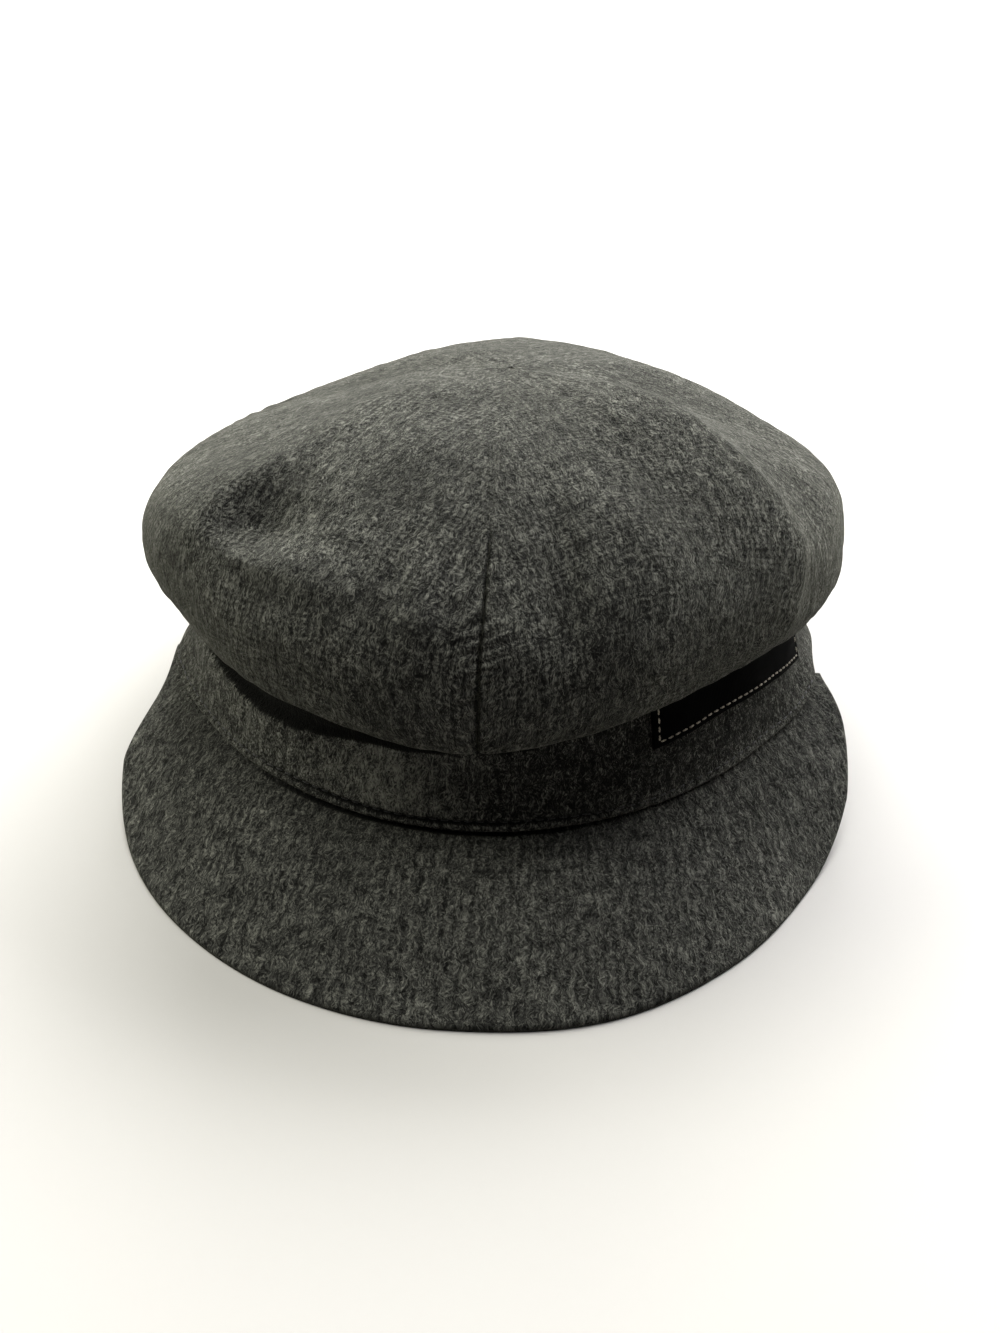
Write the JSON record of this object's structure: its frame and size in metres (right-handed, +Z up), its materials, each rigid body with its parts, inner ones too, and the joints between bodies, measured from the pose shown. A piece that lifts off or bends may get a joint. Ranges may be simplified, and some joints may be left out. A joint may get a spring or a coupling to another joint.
{
  "type": "baker boy cap",
  "caption": "Soft wool cap with a full gored crown that overhangs an upright head band and a short peak.",
  "frame": {"origin": "on the surface that the cap rests on, under the middle of its box", "axes": "+Z up from the surface, +Y towards the back of the cap, so the peak points to -Y and the wearer's left is +X"},
  "size_m": [0.2048, 0.2648, 0.1055],
  "materials": {
    "crown_wool": "brushed charcoal grey melange wool over an open knit, lightly napped",
    "band_wool": "the same brushed charcoal grey wool, drawn flat round the head",
    "peak_wool": "the same brushed charcoal grey wool over a soft core",
    "label_cloth": "black woven ribbon with pale border stitches"
  },
  "bodies": {
    "root": {"crown_front_left": "crown_wool", "crown_side_left": "crown_wool", "crown_back_left": "crown_wool", "crown_back_right": "crown_wool", "crown_side_right": "crown_wool", "crown_front_right": "crown_wool", "head_band": "band_wool", "peak": "peak_wool", "label": "label_cloth"}
  },
  "joints": []
}
